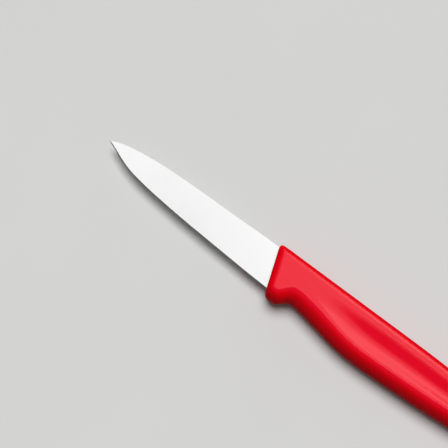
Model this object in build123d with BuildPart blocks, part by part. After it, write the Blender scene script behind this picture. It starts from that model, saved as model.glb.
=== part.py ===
from build123d import *
from math import cos, radians, sin, sqrt, tan
import os

os.makedirs("parts", exist_ok=True)

# Paring knife lying on its side. +X runs from the tip to the butt, +Y from the
# cutting edge to the spine, +Z is square to the blade's side. The surface that it
# lies on is z = 0, under the middle of the knife.

# Overall sizes
blade_length = 80.0  # tip to the middle of the handle's front
handle_length = 108.0  # middle of the handle's front to the butt
handle_thickness = 13.0

# Handle outline: depths below the straight top line, and lengths along the belly
nose_depth = 19.45
neck_depth = 15.67
belly_depth = 19.52
butt_depth = 15.62
nose_flat = 0.25
nose_back = 6.8
neck_to_belly = 31.3
taper_length = 50.0  # butt end of the top line, which curves down
butt_fall = 2.6

# Handle front
front_lean = 20.0  # degrees that the front leans back from square
front_height = 7.52  # depth below the top line at which the lengths are measured
front_rounding = 3.25
front_corner = 1.8
lean_length = 24.0  # over which the sections turn square to the handle

# Handle roundings, and the scoop along each side
spine_rounding = 3.1  # across the side
spine_drop = 2.7  # of the same rounding, through the thickness
belly_rounding = 4.8
scoop_depth = 0.93
scoop_setback = 18.0
scoop_runin = 31.0
scoop_runout = 23.0  # ahead of the butt's rounding
rim_width = 0.4  # between the spine's rounding and the scoop
butt_rounding = 7.0
butt_inset = 4.6
butt_thinning = 4.0
land_skim = 0.02  # taken off each side to make the flat lands

# Blade: thicknesses, and depths below the handle's top line
blade_thickness = 1.2
tip_thickness = 0.3
bevel_thickness = 0.26  # where the ground side meets the cutting bevel
edge_thickness = 0.06
bevel_height = 0.38
tip_height = 0.25
tip_depth = 6.82
spine_depth = 0.84
heel_depth = 16.42
shoulder_setback = 6.0

# Tang, hidden in the handle
tang_length = 62.0
tang_root = 2.5  # laps the blade ahead of its shoulders
tang_height = 10.4
tang_end_height = 8.0
tang_depth = 8.72  # top line to the tang's middle
tang_corner = 1.6
hole_diameter = 4.6
first_hole_setback = 17.0
last_hole_inset = 11.0  # from the tang's end
hole_count = 3
mould_clearance = 0.02

# Places that follow from the sizes
front_x = (blade_length - handle_length) / 2
top_y = belly_depth / 2
middle_z = handle_thickness / 2
quarter = 90  # degrees

# Blade stations: shares of the way from the tip to the handle, of the spine's rise
# from the tip and of the cutting edge's fall from it
blade_shares = (
    (0.0, 0.0, 0.0), (0.02, 0.15, 0.06), (0.05, 0.3, 0.154), (0.09, 0.44, 0.291),
    (0.14, 0.565, 0.438), (0.2, 0.665, 0.557), (0.27, 0.76, 0.642), (0.36, 0.828, 0.719),
    (0.48, 0.88, 0.798), (0.62, 0.915, 0.864), (0.78, 0.957, 0.927), (1.0, 1.0, 1.0),
)
thinning_share = 0.5  # of the blade, over which it thins towards the tip

# Stations of an end's rounding, as shares of its length, from the end inwards
end_shares = (0.0, 0.1, 0.26, 0.47, 0.71, 1.0)
end_cut_share = 0.966  # sine of the slope at which a rounding meets its flat end
front_narrow_share = 0.5

# Handle outline behind the front: shares of the way back and of the change in depth
# between two named places, then the share of the belly's rounding there
nose_shares = (
    (0.0, 1.0, 0.98), (0.15, 0.93, 1.04), (0.29, 0.77, 1.1), (0.43, 0.52, 1.15),
    (0.58, 0.26, 1.17), (0.73, 0.09, 1.17), (0.88, 0.01, 1.17),
)
neck_shares = (
    (0.03, 0.02, 1.18), (0.08, 0.08, 1.18), (0.18, 0.19, 1.17), (0.34, 0.415, 1.14),
    (0.52, 0.665, 1.09), (0.72, 0.91, 1.03), (0.87, 0.99, 1.01),
)
belly_shares = (
    (0.0, 0.0, 1.0), (0.2, 0.1, 1.0), (0.4, 0.235, 1.0), (0.6, 0.43, 0.98),
    (0.7, 0.552, 0.96), (0.8, 0.69, 0.94), (0.9, 0.839, 0.92), (0.95, 0.92, 0.91),
    (0.98, 0.968, 0.904), (1.0, 1.0, 0.9),
)
front_round_share = 0.86
floor_share = 0.6  # scoop's deepest line, between the rim and the belly's crest


def blend(start, end, share):
    """Value at the given share of the way from start to end."""
    return start + (end - start) * share


def soft_step(share):
    """Share held between 0 and 1, with a level start and end."""
    held = min(max(share, 0), 1)
    return held * held * (3 - 2 * held)


def end_inset(distance, length):
    """Share of an end rounding's depth that is gone at a distance from the end."""
    left = max(end_cut_share - distance / length, 0)
    return 1 - sqrt(1 - left * left)


def blade_section(spine, edge, thickness, grow):
    """Corners of the wedge between a spine and an edge, grown on every side."""
    bevel = edge + min(bevel_height, (spine - edge) / 2)
    spine_half = thickness / 2 + grow
    bevel_half = bevel_thickness / 2 + grow
    edge_half = edge_thickness / 2 + grow
    upper = [
        (spine + grow, middle_z + spine_half),
        (bevel, middle_z + bevel_half),
        (edge - grow, middle_z + edge_half),
    ]
    return upper + [(y, 2 * middle_z - z) for y, z in reversed(upper)]


def tang_corners(grow):
    """Corners of the tang's outline, grown on every side."""
    start = front_x + shoulder_setback - tang_root - grow
    end = front_x + tang_length + grow
    start_half = tang_height / 2 + grow
    end_half = tang_end_height / 2 + grow
    middle = top_y - tang_depth
    return [
        (start, middle + start_half),
        (start, middle - start_half),
        (end, middle - end_half),
        (end, middle + end_half),
    ]


# Blade stations from the tip to the shoulders: x, spine, edge and thickness
tip_x = front_x - blade_length
last_run, last_rise, last_fall = blade_shares[-2]
root_run = shoulder_setback / blade_length
root_rise = root_run * (1 - last_rise) / (1 - last_run)
root_fall = root_run * (1 - last_fall) / (1 - last_run)
root_share = (1 + root_run, 1 + root_rise, 1 + root_fall)
blade_stations = []
for run, rise, fall in blade_shares + (root_share,):
    x = blend(tip_x, front_x, run)
    spine = top_y - blend(tip_depth, spine_depth, rise)
    edge = top_y - blend(tip_depth + tip_height, heel_depth, fall)
    thickness = blend(tip_thickness, blade_thickness, soft_step(run / thinning_share))
    blade_stations.append((x, spine, edge, thickness))

tang_y = top_y - tang_depth
hole_pitch = (tang_length - last_hole_inset - first_hole_setback) / (hole_count - 1)
hole_places = [(front_x + first_hole_setback + hole_pitch * i, tang_y) for i in range(hole_count)]

# Blade and tang: one ground plate
with BuildPart() as blade:
    for x, spine, edge, thickness in blade_stations:
        with BuildSketch(Plane.YZ.offset(x)):
            with BuildLine():
                Polyline(*blade_section(spine, edge, thickness, 0), close=True)
            make_face()
    loft()
    with BuildSketch(Plane.XY.offset(middle_z - blade_thickness / 2)) as tang:
        with BuildLine():
            Polyline(*tang_corners(0), close=True)
        make_face()
        fillet(tang.vertices().group_by(Axis.X)[-1], tang_corner)
        with Locations(*hole_places):
            Circle(hole_diameter / 2, mode=Mode.SUBTRACT)
    extrude(amount=blade_thickness)
blade.part.label = "blade"

# Pocket that the moulding leaves round the blade's root and tang, less the pins
# that fill the tang's holes
with BuildPart() as pocket:
    for x, spine, edge, thickness in blade_stations:
        root_gap = mould_clearance if x > front_x else 0
        with BuildSketch(Plane.YZ.offset(x + root_gap)):
            with BuildLine():
                Polyline(*blade_section(spine, edge, thickness, mould_clearance), close=True)
            make_face()
    loft()
    with BuildSketch(Plane.XY.offset(middle_z - blade_thickness / 2 - mould_clearance)) as slot:
        with BuildLine():
            Polyline(*tang_corners(mould_clearance), close=True)
        make_face()
        fillet(slot.vertices().group_by(Axis.X)[-1], tang_corner)
        with Locations(*hole_places):
            Circle(hole_diameter / 2 - mould_clearance, mode=Mode.SUBTRACT)
    extrude(amount=blade_thickness + 2 * mould_clearance)

# Stations along the handle's belly: x behind the front, depth and rounding share
lean = radians(front_lean)
nose_start = (nose_depth - front_height) * tan(lean)
nose_end = nose_start + front_rounding / cos(lean) + nose_flat
neck_x = nose_end + nose_back
belly_x = neck_x + neck_to_belly
butt_start = handle_length - butt_rounding
stations = []
for share in end_shares:
    x = nose_start + front_rounding * share / cos(lean)
    stations.append((x, nose_depth, blend(front_round_share, nose_shares[0][2], share)))
for run, change, rounding in nose_shares:
    depth = blend(neck_depth, nose_depth, change)
    stations.append((blend(nose_end, neck_x, run), depth, rounding))
for run, change, rounding in neck_shares:
    depth = blend(neck_depth, belly_depth, change)
    stations.append((blend(neck_x, belly_x, run), depth, rounding))
for run, change, rounding in belly_shares:
    depth = blend(belly_depth, butt_depth, change)
    stations.append((blend(belly_x, butt_start, run), depth, rounding))
for share in end_shares[-2::-1]:
    x = handle_length - butt_rounding * share
    stations.append((x, butt_depth, belly_shares[-1][2]))

# Handle: lofted through sections that turn from the front's lean to square
with BuildPart() as handle:
    for x, depth, rounding in stations:
        turn = lean * (1 - soft_step((x - nose_start) / lean_length))
        front_gap = (x - nose_start) * cos(lean)
        butt_gap = handle_length - x
        taper = max(1 - butt_gap / taper_length, 0)
        front_in = end_inset(front_gap, front_rounding)
        corner_in = front_corner * end_inset(front_gap, front_corner)
        butt_in = end_inset(butt_gap, butt_rounding)

        # Section, from its lowest point at the belly to its top, on both sides of
        # the middle
        bottom = corner_in + butt_inset * butt_in
        full = (depth - butt_fall * taper * taper) / cos(turn)
        top = full - bottom
        narrow = min(blend(1, front_narrow_share, front_in), (top - bottom) / full)
        half = middle_z + land_skim - front_rounding * front_in - butt_thinning * butt_in
        corner = spine_rounding * narrow
        drop = spine_drop * narrow
        round_y = belly_rounding * rounding * narrow
        scoop_in = soft_step((x - scoop_setback) / scoop_runin)
        scoop_out = soft_step((butt_gap - butt_rounding) / scoop_runout)
        scoop = scoop_depth * scoop_in * scoop_out
        rim = top - corner - rim_width * narrow
        crest = bottom + round_y
        floor = blend(rim, crest, floor_share)
        upper_bend = (rim + floor) / 2
        lower_bend = (floor + crest) / 2
        high = middle_z + half
        low = middle_z - half
        floor_high = high - scoop
        floor_low = low + scoop

        back_way = (cos(turn), sin(turn), 0)
        up_way = (-sin(turn), cos(turn), 0)
        place = Plane((front_x + x, top_y - depth, 0), x_dir=up_way, z_dir=back_way)
        with BuildSketch(place):
            with BuildLine():
                Line((top, low + drop), (top, high - drop))
                EllipticalCenterArc((top - corner, high - drop), corner, drop, 0, arc_size=quarter)
                Line((top - corner, high), (rim, high))
                Bezier((rim, high), (upper_bend, high), (upper_bend, floor_high), (floor, floor_high))
                Bezier((floor, floor_high), (lower_bend, floor_high), (lower_bend, high), (crest, high))
                EllipticalCenterArc((crest, middle_z), round_y, half, quarter, arc_size=quarter)
                EllipticalCenterArc((crest, middle_z), round_y, half, 2 * quarter, arc_size=quarter)
                Bezier((crest, low), (lower_bend, low), (lower_bend, floor_low), (floor, floor_low))
                Bezier((floor, floor_low), (upper_bend, floor_low), (upper_bend, low), (rim, low))
                Line((rim, low), (top - corner, low))
                EllipticalCenterArc((top - corner, low + drop), corner, drop, -quarter, arc_size=quarter)
            make_face()
    loft()
    # Flat lands on both sides
    with BuildSketch(Plane.XY):
        Rectangle(2 * handle_length, 2 * handle_length)
    extrude(amount=handle_thickness, mode=Mode.INTERSECT)
    add(pocket.part, mode=Mode.SUBTRACT)
handle.part.label = "handle"

for piece in (blade, handle):
    export_step(piece.part, f"parts/{piece.part.label}.step")
    print(piece.part.label, piece.part.is_valid, piece.part.volume)
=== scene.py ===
"""Looks of a paring knife that lies on its side, and the studio round it.

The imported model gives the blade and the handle. This script gives them their finishes,
and adds a plain floor, soft light and a camera. All lengths are in metres.
"""

import logging
import math
from dataclasses import dataclass, field
from enum import Enum

import bpy
from mathutils import Matrix, Vector


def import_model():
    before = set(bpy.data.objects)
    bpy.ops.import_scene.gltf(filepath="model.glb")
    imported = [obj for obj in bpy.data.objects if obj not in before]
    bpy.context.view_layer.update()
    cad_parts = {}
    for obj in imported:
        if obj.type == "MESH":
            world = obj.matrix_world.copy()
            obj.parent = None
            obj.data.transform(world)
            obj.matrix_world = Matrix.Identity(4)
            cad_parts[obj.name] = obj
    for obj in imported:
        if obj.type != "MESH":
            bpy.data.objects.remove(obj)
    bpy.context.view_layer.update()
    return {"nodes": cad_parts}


Pair = tuple[float, float]
Triple = tuple[float, float, float]
Colour = tuple[float, float, float, float]
Node = bpy.types.Node
Socket = bpy.types.NodeSocket
Tree = bpy.types.NodeTree
Value = float | Socket

MM = 0.001
# Noise level above which a hairline shows where lines are rarest, and how softly it starts
HAIRLINE_LEVEL = 0.78
HAIRLINE_SOFTNESS = 0.22
HAIRLINE_NOISE = {"Scale": 1.0, "Detail": 3.0, "Roughness": 0.6}
MOTTLE_RANGE = (0.3, 0.7)
MOTTLE_NOISE = {"Detail": 4.0, "Roughness": 0.55}
SKIN_NOISE = {"Detail": 2.0, "Roughness": 0.5}
log = logging.getLogger("paring_knife")


class Sum(Enum):
    """Sums that a Math node can do."""

    ADD = "ADD"
    SUBTRACT = "SUBTRACT"
    MULTIPLY = "MULTIPLY"
    ABSOLUTE = "ABSOLUTE"
    MOST = "MAXIMUM"


class Axis(Enum):
    """Parts of a place or a direction."""

    ALONG = "X"
    ACROSS = "Y"
    UP = "Z"


class Graph:
    """Adds nodes to a tree and joins them."""

    def __init__(self, tree: Tree) -> None:
        """Keeps the tree that the nodes go into."""
        self.tree = tree

    def node(
        self, kind: str, inputs: dict[str | int, object] | None = None, **settings: object
    ) -> Node:
        """Adds a node.

        Args:
            kind: The node's type.
            inputs: A value or an output for each named or numbered input.
            **settings: The node's own settings.

        Returns:
            The new node.
        """
        made = self.tree.nodes.new(kind)
        for name, setting in settings.items():
            setattr(made, name, setting)
        for key, given in (inputs or {}).items():
            self.feed(made.inputs[key], given)
        return made

    def feed(self, socket: Socket, given: object) -> None:
        """Sets an input to a value, or joins an output to it.

        Args:
            socket: The input.
            given: The value or the output.
        """
        if isinstance(given, Socket):
            self.tree.links.new(given, socket)
        else:
            socket.default_value = given

    def sum(self, kind: Sum, first: Value, second: Value = 0.0, clamp: bool = False) -> Socket:
        """Gives the result of a sum of two values."""
        values = {0: first, 1: second}
        return self.node("ShaderNodeMath", values, operation=kind.value, use_clamp=clamp).outputs[0]

    def ramp(
        self, value: Value, start: Value, end: Value, low: float = 0.0, high: float = 1.0
    ) -> Socket:
        """Turns a range of values smoothly into another.

        Args:
            value: What is read.
            start: Value at which the result is low.
            end: Value at which the result is high.
            low: Result at the start and before it.
            high: Result at the end and after it.

        Returns:
            The result's output.
        """
        given = {"Value": value, "From Min": start, "From Max": end, "To Min": low, "To Max": high}
        return self.node("ShaderNodeMapRange", given, interpolation_type="SMOOTHSTEP").outputs["Result"]

    def part(self, vector: Socket, axis: Axis) -> Socket:
        """Gives one part of a vector."""
        return self.node("ShaderNodeSeparateXYZ", {"Vector": vector}).outputs[axis.value]

    def mix(self, share: Value, first: object, second: object) -> Socket:
        """Mixes two colours.

        Args:
            share: The second colour's share, from 0 to 1.
            first: Colour or output shown where the share is 0.
            second: Colour or output shown where the share is 1.

        Returns:
            The mixed colour's output.
        """
        made = self.node("ShaderNodeMix", data_type="RGBA")
        colours = [socket for socket in made.inputs if socket.type == "RGBA"]
        self.feed(made.inputs[0], share)
        self.feed(colours[0], first)
        self.feed(colours[1], second)
        return next(socket for socket in made.outputs if socket.type == "RGBA")

    def shiny_ray(self) -> Socket:
        """Gives 1 for what a shiny or a clear face shows, and 0 for the rest."""
        path = self.node("ShaderNodeLightPath")
        return self.sum(Sum.MOST, path.outputs["Is Glossy Ray"], path.outputs["Is Transmission Ray"])

    def camera_ray(self) -> Socket:
        """Gives 1 for what the camera sees directly, and 0 for the rest."""
        return self.node("ShaderNodeLightPath").outputs["Is Camera Ray"]

    def place(self) -> Socket:
        """Gives the place on the piece."""
        return self.node("ShaderNodeTexCoord").outputs["Object"]

    def facing(self) -> Socket:
        """Gives the direction that the piece's surface faces."""
        return self.node("ShaderNodeTexCoord").outputs["Normal"]

    def group(self, tree: Tree, inputs: dict[str, object]) -> Node:
        """Places a shared effect.

        Args:
            tree: The effect's node group.
            inputs: A value or an output for each of its inputs.

        Returns:
            The group node.
        """
        made = self.tree.nodes.new("ShaderNodeGroup")
        made.node_tree = tree
        for key, given in inputs.items():
            self.feed(made.inputs[key], given)
        return made


def new_group(
    name: str, inputs: dict[str, str], outputs: dict[str, str]
) -> tuple[Graph, Node, Node]:
    """Starts a node group for an effect that more than one finish uses.

    Args:
        name: The group's name.
        inputs: Socket type of each input.
        outputs: Socket type of each output.

    Returns:
        The group's graph, its input node and its output node.
    """
    tree = bpy.data.node_groups.new(name, "ShaderNodeTree")
    for direction, sockets in (("INPUT", inputs), ("OUTPUT", outputs)):
        for label, kind in sockets.items():
            tree.interface.new_socket(label, in_out=direction, socket_type=kind)
    graph = Graph(tree)
    return graph, graph.node("NodeGroupInput"), graph.node("NodeGroupOutput")


def hairlines_group() -> Tree:
    """Makes the effect of fine lines that run one way, as grinding or rubbing leaves.

    Returns:
        A group with the lines' place, pitch, length and share of the surface, and their mask.
    """
    inputs = {"Place": "NodeSocketVector", "Fineness": "NodeSocketVector", "Cover": "NodeSocketFloat"}
    graph, given, out = new_group("hairlines", inputs, {"Mask": "NodeSocketFloat"})
    factors = {0: given.outputs["Place"], 1: given.outputs["Fineness"]}
    stretched = graph.node("ShaderNodeVectorMath", factors, operation="MULTIPLY")
    noise = graph.node("ShaderNodeTexNoise", {"Vector": stretched.outputs[0], **HAIRLINE_NOISE})
    low = graph.sum(Sum.SUBTRACT, HAIRLINE_LEVEL, given.outputs["Cover"])
    high = graph.sum(Sum.ADD, low, HAIRLINE_SOFTNESS)
    graph.feed(out.inputs["Mask"], graph.ramp(noise.outputs["Fac"], low, high))
    return graph.tree


def mottle_group() -> Tree:
    """Makes the effect of a surface that isn't quite even, in broad soft patches.

    Returns:
        A group with the patches' place and fineness, and their mask.
    """
    inputs = {"Place": "NodeSocketVector", "Fineness": "NodeSocketFloat"}
    graph, given, out = new_group("mottle", inputs, {"Mask": "NodeSocketFloat"})
    reads = {"Vector": given.outputs["Place"], "Scale": given.outputs["Fineness"], **MOTTLE_NOISE}
    noise = graph.node("ShaderNodeTexNoise", reads)
    graph.feed(out.inputs["Mask"], graph.ramp(noise.outputs["Fac"], *MOTTLE_RANGE))
    return graph.tree


@dataclass(frozen=True)
class Effects:
    """Effects that the finishes share."""

    hairlines: Tree
    mottle: Tree

    def lines(self, graph: Graph, place: Socket, fineness: Triple, cover: float) -> Socket:
        """Gives the mask of fine lines on a piece."""
        inputs = {"Place": place, "Fineness": fineness, "Cover": cover}
        return graph.group(self.hairlines, inputs).outputs["Mask"]

    def patches(self, graph: Graph, place: Socket, fineness: float) -> Socket:
        """Gives the mask of broad soft patches on a piece."""
        return graph.group(self.mottle, {"Place": place, "Fineness": fineness}).outputs["Mask"]


def new_material(name: str) -> tuple[bpy.types.Material, Graph, Node]:
    """Starts a material.

    Args:
        name: The finish's name.

    Returns:
        The material, its graph and its surface shader.
    """
    material = bpy.data.materials.new(name)
    material.use_nodes = True
    return material, Graph(material.node_tree), material.node_tree.nodes["Principled BSDF"]


@dataclass(frozen=True)
class GroundSteel:
    """Finish of the blade: stainless steel ground across, with a honed bevel.

    A tilt is how far a surface faces up or down: 1 lies flat and 0 stands upright.
    """

    colour: Colour = (0.935, 0.935, 0.935, 1.0)
    dull_colour: Colour = (0.875, 0.875, 0.88, 1.0)
    cut_colour: Colour = (0.66, 0.66, 0.67, 1.0)
    roughness: float = 0.17
    dull_roughness: float = 0.22
    cut_roughness: float = 0.4
    bevel_roughness: float = 0.34
    cut_tilt: Pair = (0.9, 0.6)
    bevel_tilt: Pair = (0.99, 0.965)
    grind_fineness: Triple = (4200.0, 110.0, 110.0)
    grind_cover: float = 0.3
    grind_dulls: float = 0.4
    rub_fineness: Triple = (60.0, 2600.0, 900.0)
    rub_cover: float = 0.08
    rub_roughens: float = 0.05
    rub_depth: float = 0.5
    patch_fineness: float = 55.0
    patch_dulls: float = 0.15
    groove: float = 0.0015 * MM
    groove_strength: float = 0.5

    def make(self, effects: Effects) -> bpy.types.Material:
        """Makes the material.

        Args:
            effects: The effects that the finishes share.

        Returns:
            The material.
        """
        material, graph, surface = new_material("ground_steel")
        place = graph.place()
        tilt = graph.sum(Sum.ABSOLUTE, graph.part(graph.facing(), Axis.UP))
        cut = graph.ramp(tilt, *self.cut_tilt)
        bevel = graph.ramp(tilt, *self.bevel_tilt)
        grind = effects.lines(graph, place, self.grind_fineness, self.grind_cover)
        rub = effects.lines(graph, place, self.rub_fineness, self.rub_cover)
        patch = effects.patches(graph, place, self.patch_fineness)
        grind_dull = graph.sum(Sum.MULTIPLY, grind, self.grind_dulls)
        patch_dull = graph.sum(Sum.MULTIPLY, patch, self.patch_dulls)
        dull = graph.sum(Sum.ADD, grind_dull, patch_dull, clamp=True)
        ground = graph.mix(dull, self.colour, self.dull_colour)
        graph.feed(surface.inputs["Base Color"], graph.mix(cut, ground, self.cut_colour))
        rough = graph.ramp(dull, 0.0, 1.0, self.roughness, self.dull_roughness)
        rough = graph.sum(Sum.ADD, rough, graph.sum(Sum.MULTIPLY, rub, self.rub_roughens))
        rough = graph.sum(Sum.MOST, rough, graph.sum(Sum.MULTIPLY, bevel, self.bevel_roughness))
        rough = graph.sum(Sum.MOST, rough, graph.sum(Sum.MULTIPLY, cut, self.cut_roughness))
        graph.feed(surface.inputs["Roughness"], rough)
        depth = graph.sum(Sum.ADD, grind, graph.sum(Sum.MULTIPLY, rub, self.rub_depth))
        height = graph.sum(Sum.SUBTRACT, 0.0, depth)
        reads = {"Strength": self.groove_strength, "Distance": self.groove, "Height": height}
        bump = graph.node("ShaderNodeBump", reads)
        graph.feed(surface.inputs["Normal"], bump.outputs["Normal"])
        surface.inputs["Metallic"].default_value = 1.0
        return material


@dataclass(frozen=True)
class SatinPlastic:
    """Finish of the handle: red plastic from a mould, with a sheen on its broad faces.

    Faces that turn towards the belly side and the front get a deeper red, which is painted shade. The
    broad faces get a pinker, lighter red, which is a painted sheen tint. A tilt is
    how far a surface faces up or down: 1 lies flat and 0 stands upright.
    """

    colour: Colour = (0.85, 0.0008, 0.006, 1.0)
    # Painted sheen tint: the broad faces get a pinker, lighter red than the sides.
    painted_sheen_colour: Colour = (0.87, 0.0008, 0.019, 1.0)
    # Painted shade: faces towards the belly side and front turn this deeper red; random patches also
    # deepen the red towards it.
    shade_and_patch_colour: Colour = (0.62, 0.0005, 0.004, 1.0)
    rubbed_colour: Colour = (0.88, 0.01, 0.03, 1.0)
    roughness: float = 0.6
    gloss: float = 0.02
    sheen_roughness: float = 0.26
    sheen_index: float = 1.5
    side_sheen: float = 0.03
    broad_tilt: Pair = (0.85, 0.965)
    skin_fineness: float = 3200.0
    skin_depth: float = 0.006 * MM
    # Direction and range of the painted shade on the belly side and front.
    painted_shade_way: Triple = (-0.4, -1.0, 0.0)
    painted_shade_range: Pair = (0.22, 0.8)
    patch_fineness: float = 70.0
    patch_deepens: float = 0.08
    patch_roughens: float = 0.1
    seam_height: float = 6.5 * MM
    seam_half_width: float = 0.14 * MM
    seam_depth: float = 0.03 * MM
    seam_brightens: float = 0.7
    gate_x: float = 92.0 * MM
    gate_y: float = 0.8 * MM
    gate_fade: float = 1.0 * MM
    gate_radius: float = 1.3 * MM
    gate_floor_share: float = 0.8
    gate_depth: float = 0.12 * MM
    corner_range: Pair = (0.2, 0.5)
    corner_brightens: float = 0.1
    rub_fineness: Triple = (90.0, 2200.0, 2200.0)
    rub_cover: float = 0.06
    rub_brightens: float = 0.3

    def make(self, effects: Effects) -> bpy.types.Material:
        """Makes the material.

        Args:
            effects: The effects that the finishes share.

        Returns:
            The material.
        """
        material, graph, surface = new_material("satin_red_plastic")
        place = graph.place()
        facing = graph.facing()
        seam = self.seam(graph, place)
        gate = self.gate(graph, place)
        across = graph.part(facing, Axis.ACROSS)
        up = graph.part(facing, Axis.UP)
        # Painted shade: the more a face turns towards the belly side and front, the deeper its red.
        pair = {0: facing, 1: self.painted_shade_way}
        painted_shade = graph.node("ShaderNodeVectorMath", pair, operation="DOT_PRODUCT").outputs["Value"]
        painted_shade = graph.ramp(painted_shade, *self.painted_shade_range)
        corner = graph.sum(Sum.ABSOLUTE, graph.sum(Sum.MULTIPLY, across, up))
        corner = graph.ramp(corner, *self.corner_range)
        patch = effects.patches(graph, place, self.patch_fineness)
        rub = effects.lines(graph, place, self.rub_fineness, self.rub_cover)
        # Painted shade, together with random patches that deepen the red a little.
        shade_and_patch = graph.sum(Sum.MOST, painted_shade, graph.sum(Sum.MULTIPLY, patch, self.patch_deepens))
        broad = graph.ramp(graph.sum(Sum.ABSOLUTE, up), *self.broad_tilt)
        # Base colour: painted shade on the belly side and front, and a painted sheen tint on the broad
        # faces.
        colour = graph.mix(shade_and_patch, graph.mix(broad, self.colour, self.painted_sheen_colour), self.shade_and_patch_colour)
        bright = graph.sum(Sum.MULTIPLY, corner, self.corner_brightens)
        for mark, share in ((seam, self.seam_brightens), (rub, self.rub_brightens)):
            bright = graph.sum(Sum.MOST, bright, graph.sum(Sum.MULTIPLY, mark, share))
        graph.feed(surface.inputs["Base Color"], graph.mix(bright, colour, self.rubbed_colour))
        patch_rough = graph.sum(Sum.MULTIPLY, patch, self.patch_roughens)
        rough = graph.sum(Sum.ADD, self.roughness, patch_rough)
        graph.feed(surface.inputs["Roughness"], rough)
        graph.feed(surface.inputs["Coat Weight"], graph.ramp(broad, 0.0, 1.0, self.side_sheen, 1.0))
        surface.inputs["Coat Roughness"].default_value = self.sheen_roughness
        surface.inputs["Coat IOR"].default_value = self.sheen_index
        surface.inputs["Specular IOR Level"].default_value = self.gloss
        reads = {"Vector": place, "Scale": self.skin_fineness, **SKIN_NOISE}
        skin = graph.node("ShaderNodeTexNoise", reads)
        depth = graph.sum(Sum.MULTIPLY, skin.outputs["Fac"], self.skin_depth)
        depth = graph.sum(Sum.ADD, depth, graph.sum(Sum.MULTIPLY, seam, self.seam_depth))
        depth = graph.sum(Sum.SUBTRACT, depth, graph.sum(Sum.MULTIPLY, gate, self.gate_depth))
        bump = graph.node("ShaderNodeBump", {"Strength": 1.0, "Distance": 1.0, "Height": depth})
        graph.feed(surface.inputs["Normal"], bump.outputs["Normal"])
        return material

    def seam(self, graph: Graph, place: Socket) -> Socket:
        """Gives the mask of the fine line that the mould's two halves leave."""
        above = graph.sum(Sum.SUBTRACT, graph.part(place, Axis.UP), self.seam_height)
        return graph.ramp(graph.sum(Sum.ABSOLUTE, above), self.seam_half_width, 0.0)

    def gate(self, graph: Graph, place: Socket) -> Socket:
        """Makes the mask of the round mark that the mould's inlet leaves on the butt.

        Args:
            graph: The material's graph.
            place: The place on the handle.

        Returns:
            The mask's output.
        """
        flat = {0: place, 1: (0.0, 1.0, 1.0)}
        across = graph.node("ShaderNodeVectorMath", flat, operation="MULTIPLY").outputs[0]
        ends = {0: across, 1: (0.0, self.gate_y, self.seam_height)}
        away = graph.node("ShaderNodeVectorMath", ends, operation="DISTANCE").outputs["Value"]
        spot = graph.ramp(away, self.gate_radius, self.gate_floor_share * self.gate_radius)
        behind = graph.ramp(graph.part(place, Axis.ALONG), self.gate_x - self.gate_fade, self.gate_x)
        return graph.sum(Sum.MULTIPLY, spot, behind)


@dataclass(frozen=True)
class PaleFloor:
    """Finish of the floor: plain, pale and matt."""

    colour: Colour = (0.70, 0.70, 0.69, 1.0)
    shade_colour: Colour = (0.66, 0.66, 0.65, 1.0)
    bounce_colour: Colour = (0.34, 0.34, 0.335, 1.0)
    roughness: float = 0.9
    gloss: float = 0.1
    patch_fineness: float = 14.0
    patch_shades: float = 0.4

    def make(self, effects: Effects) -> bpy.types.Material:
        """Makes the material.

        Args:
            effects: The effects that the finishes share.

        Returns:
            The material.
        """
        material, graph, surface = new_material("pale_floor")
        patch = effects.patches(graph, graph.place(), self.patch_fineness)
        shade = graph.sum(Sum.MULTIPLY, patch, self.patch_shades)
        shown = graph.mix(shade, self.colour, self.shade_colour)
        seen = graph.sum(Sum.MOST, graph.camera_ray(), graph.shiny_ray())
        graph.feed(surface.inputs["Base Color"], graph.mix(seen, self.bounce_colour, shown))
        surface.inputs["Roughness"].default_value = self.roughness
        surface.inputs["Specular IOR Level"].default_value = self.gloss
        return material


@dataclass
class Blade:
    """The blade and its tang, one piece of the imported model."""

    node: bpy.types.Object
    finish: GroundSteel = field(default_factory=GroundSteel)

    def dress(self, effects: Effects) -> None:
        """Gives the blade its finish."""
        dress(self.node, self.finish.make(effects))


@dataclass
class Handle:
    """The moulded handle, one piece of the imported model."""

    node: bpy.types.Object
    finish: SatinPlastic = field(default_factory=SatinPlastic)

    def dress(self, effects: Effects) -> None:
        """Gives the handle its finish."""
        dress(self.node, self.finish.make(effects))


def dress(piece: bpy.types.Object, material: bpy.types.Material) -> None:
    """Puts a material on all of a piece and reports it.

    Args:
        piece: The piece.
        material: Its finish.
    """
    for slot in piece.material_slots:
        slot.material = material
    log.info("%s: %s on %d faces", piece.name, material.name, len(piece.data.polygons))


@dataclass(frozen=True)
class Card:
    """A pale card that only shiny faces show.

    Each pair holds where an edge starts and where it ends, as part of a direction
    along or across the knife.
    """

    level: float
    along_in: Pair
    along_out: Pair
    across_in: Pair
    across_out: Pair

    def light(self, graph: Graph, along: Socket, across: Socket) -> Socket:
        """Gives the card's light in each direction.

        Args:
            graph: The world's graph.
            along: The direction's part along the knife.
            across: Its part across the knife.

        Returns:
            The light's output.
        """
        made = graph.ramp(along, *self.along_in, 0.0, self.level)
        edges = ((along, self.along_out), (across, self.across_in), (across, self.across_out))
        for way, edge in edges:
            made = graph.sum(Sum.MULTIPLY, made, graph.ramp(way, *edge))
        return made


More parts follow.
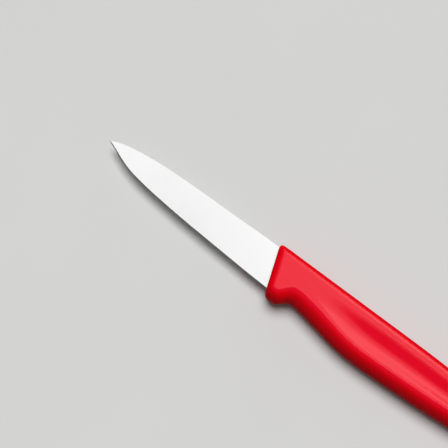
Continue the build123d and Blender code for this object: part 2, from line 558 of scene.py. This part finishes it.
@dataclass
class Studio:
    """Floor, light and camera round the knife."""

    floor_size: float = 6.0
    floor_drop: float = 0.02 * MM
    floor_finish: PaleFloor = field(default_factory=PaleFloor)
    key_tilt: float = 15.5
    key_way: Pair = (-0.6, 0.8)
    key_spread: float = 36.0
    key_strength: float = 2.62
    fill: float = 0.14
    dim_level: float = 0.005
    low_level: float = 0.7
    low_range: Pair = (0.52, 0.06)
    wide_card: Card = Card(1.04, (-0.66, -0.42), (2.0, 1.5), (-0.03, 0.08), (1.02, 0.93))
    near_card: Card = Card(2.25, (-0.14, -0.02), (0.3, 0.05), (0.2, 0.36), (0.9, 0.76))
    background: Colour = (0.80, 0.80, 0.79, 1.0)
    lens: float = 85.0
    sensor: float = 36.0
    nearest_seen: float = 10 * MM
    eye: Triple = (24.906 * MM, -79.068 * MM, 395.354 * MM)
    target: Triple = (-39.754 * MM, 4.845 * MM, 0.0)
    picture_right: Triple = (0.79212, 0.61037, 0.0)

    def build(self, effects: Effects) -> None:
        """Builds the floor, the light and the camera.

        Args:
            effects: The effects that the finishes share.
        """
        self.build_floor(effects)
        self.build_key()
        self.build_world()
        self.build_camera()

    def build_floor(self, effects: Effects) -> None:
        """Lays the floor just under the knife.

        Args:
            effects: The effects that the finishes share.
        """
        bpy.ops.mesh.primitive_plane_add(size=self.floor_size, location=(0.0, 0.0, -self.floor_drop))
        floor = bpy.context.object
        floor.name = "floor"
        floor.data.materials.append(self.floor_finish.make(effects))
        log.info("%s: %s", floor.name, floor.data.materials[0].name)

    def build_key(self) -> None:
        """Adds the broad soft light from above, a little from beyond the spine and the tip."""
        tilt = math.radians(self.key_tilt)
        way = Vector((*self.key_way, 0.0)).normalized()
        back = way * math.sin(tilt) + Vector((0.0, 0.0, math.cos(tilt)))
        lamp = bpy.data.lights.new("key", "SUN")
        lamp.angle = math.radians(self.key_spread)
        lamp.energy = self.key_strength
        key = bpy.data.objects.new("key", lamp)
        bpy.context.scene.collection.objects.link(key)
        key.location = back
        key.rotation_euler = back.to_track_quat("Z", "Y").to_euler()
        key.visible_glossy = False
        key.visible_camera = False

    def build_world(self) -> None:
        """Makes the even fill, the pale cards that shiny faces show, and the background."""
        world = bpy.data.worlds.new("studio")
        bpy.context.scene.world = world
        world.use_nodes = True
        graph = Graph(world.node_tree)
        backdrop = world.node_tree.nodes["Background"]
        way = graph.node("ShaderNodeTexCoord").outputs["Generated"]
        along = graph.part(way, Axis.ALONG)
        across = graph.part(way, Axis.ACROSS)
        wide = self.wide_card.light(graph, along, across)
        near = self.near_card.light(graph, along, across)
        cards = graph.sum(Sum.ADD, wide, near)
        low = graph.ramp(graph.part(way, Axis.UP), *self.low_range, self.dim_level, self.low_level)
        shown = graph.sum(Sum.MOST, cards, low)
        level = graph.mix(graph.shiny_ray(), (self.fill,) * 3 + (1.0,), shown)
        graph.feed(backdrop.inputs["Color"], graph.mix(graph.camera_ray(), level, self.background))
        backdrop.inputs["Strength"].default_value = 1.0

    def build_camera(self) -> None:
        """Places the camera at the photograph's viewing angle."""
        back = (Vector(self.eye) - Vector(self.target)).normalized()
        right = Vector(self.picture_right).normalized()
        turn = Matrix((right, back.cross(right), back)).transposed()
        data = bpy.data.cameras.new("camera")
        data.lens = self.lens
        data.sensor_width = self.sensor
        data.clip_start = self.nearest_seen
        camera = bpy.data.objects.new("camera", data)
        bpy.context.scene.collection.objects.link(camera)
        camera.matrix_world = Matrix.Translation(self.eye) @ turn.to_4x4()
        bpy.context.scene.camera = camera


def main() -> None:
    """Dresses the knife and builds the studio."""
    logging.basicConfig(level=logging.INFO, format="%(message)s")
    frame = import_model()
    bpy.ops.object.select_all(action="DESELECT")
    bpy.context.scene.view_settings.view_transform = "Standard"
    effects = Effects(hairlines_group(), mottle_group())
    Blade(frame["nodes"]["blade"]).dress(effects)
    Handle(frame["nodes"]["handle"]).dress(effects)
    Studio().build(effects)


if __name__ == "__main__":
    main()
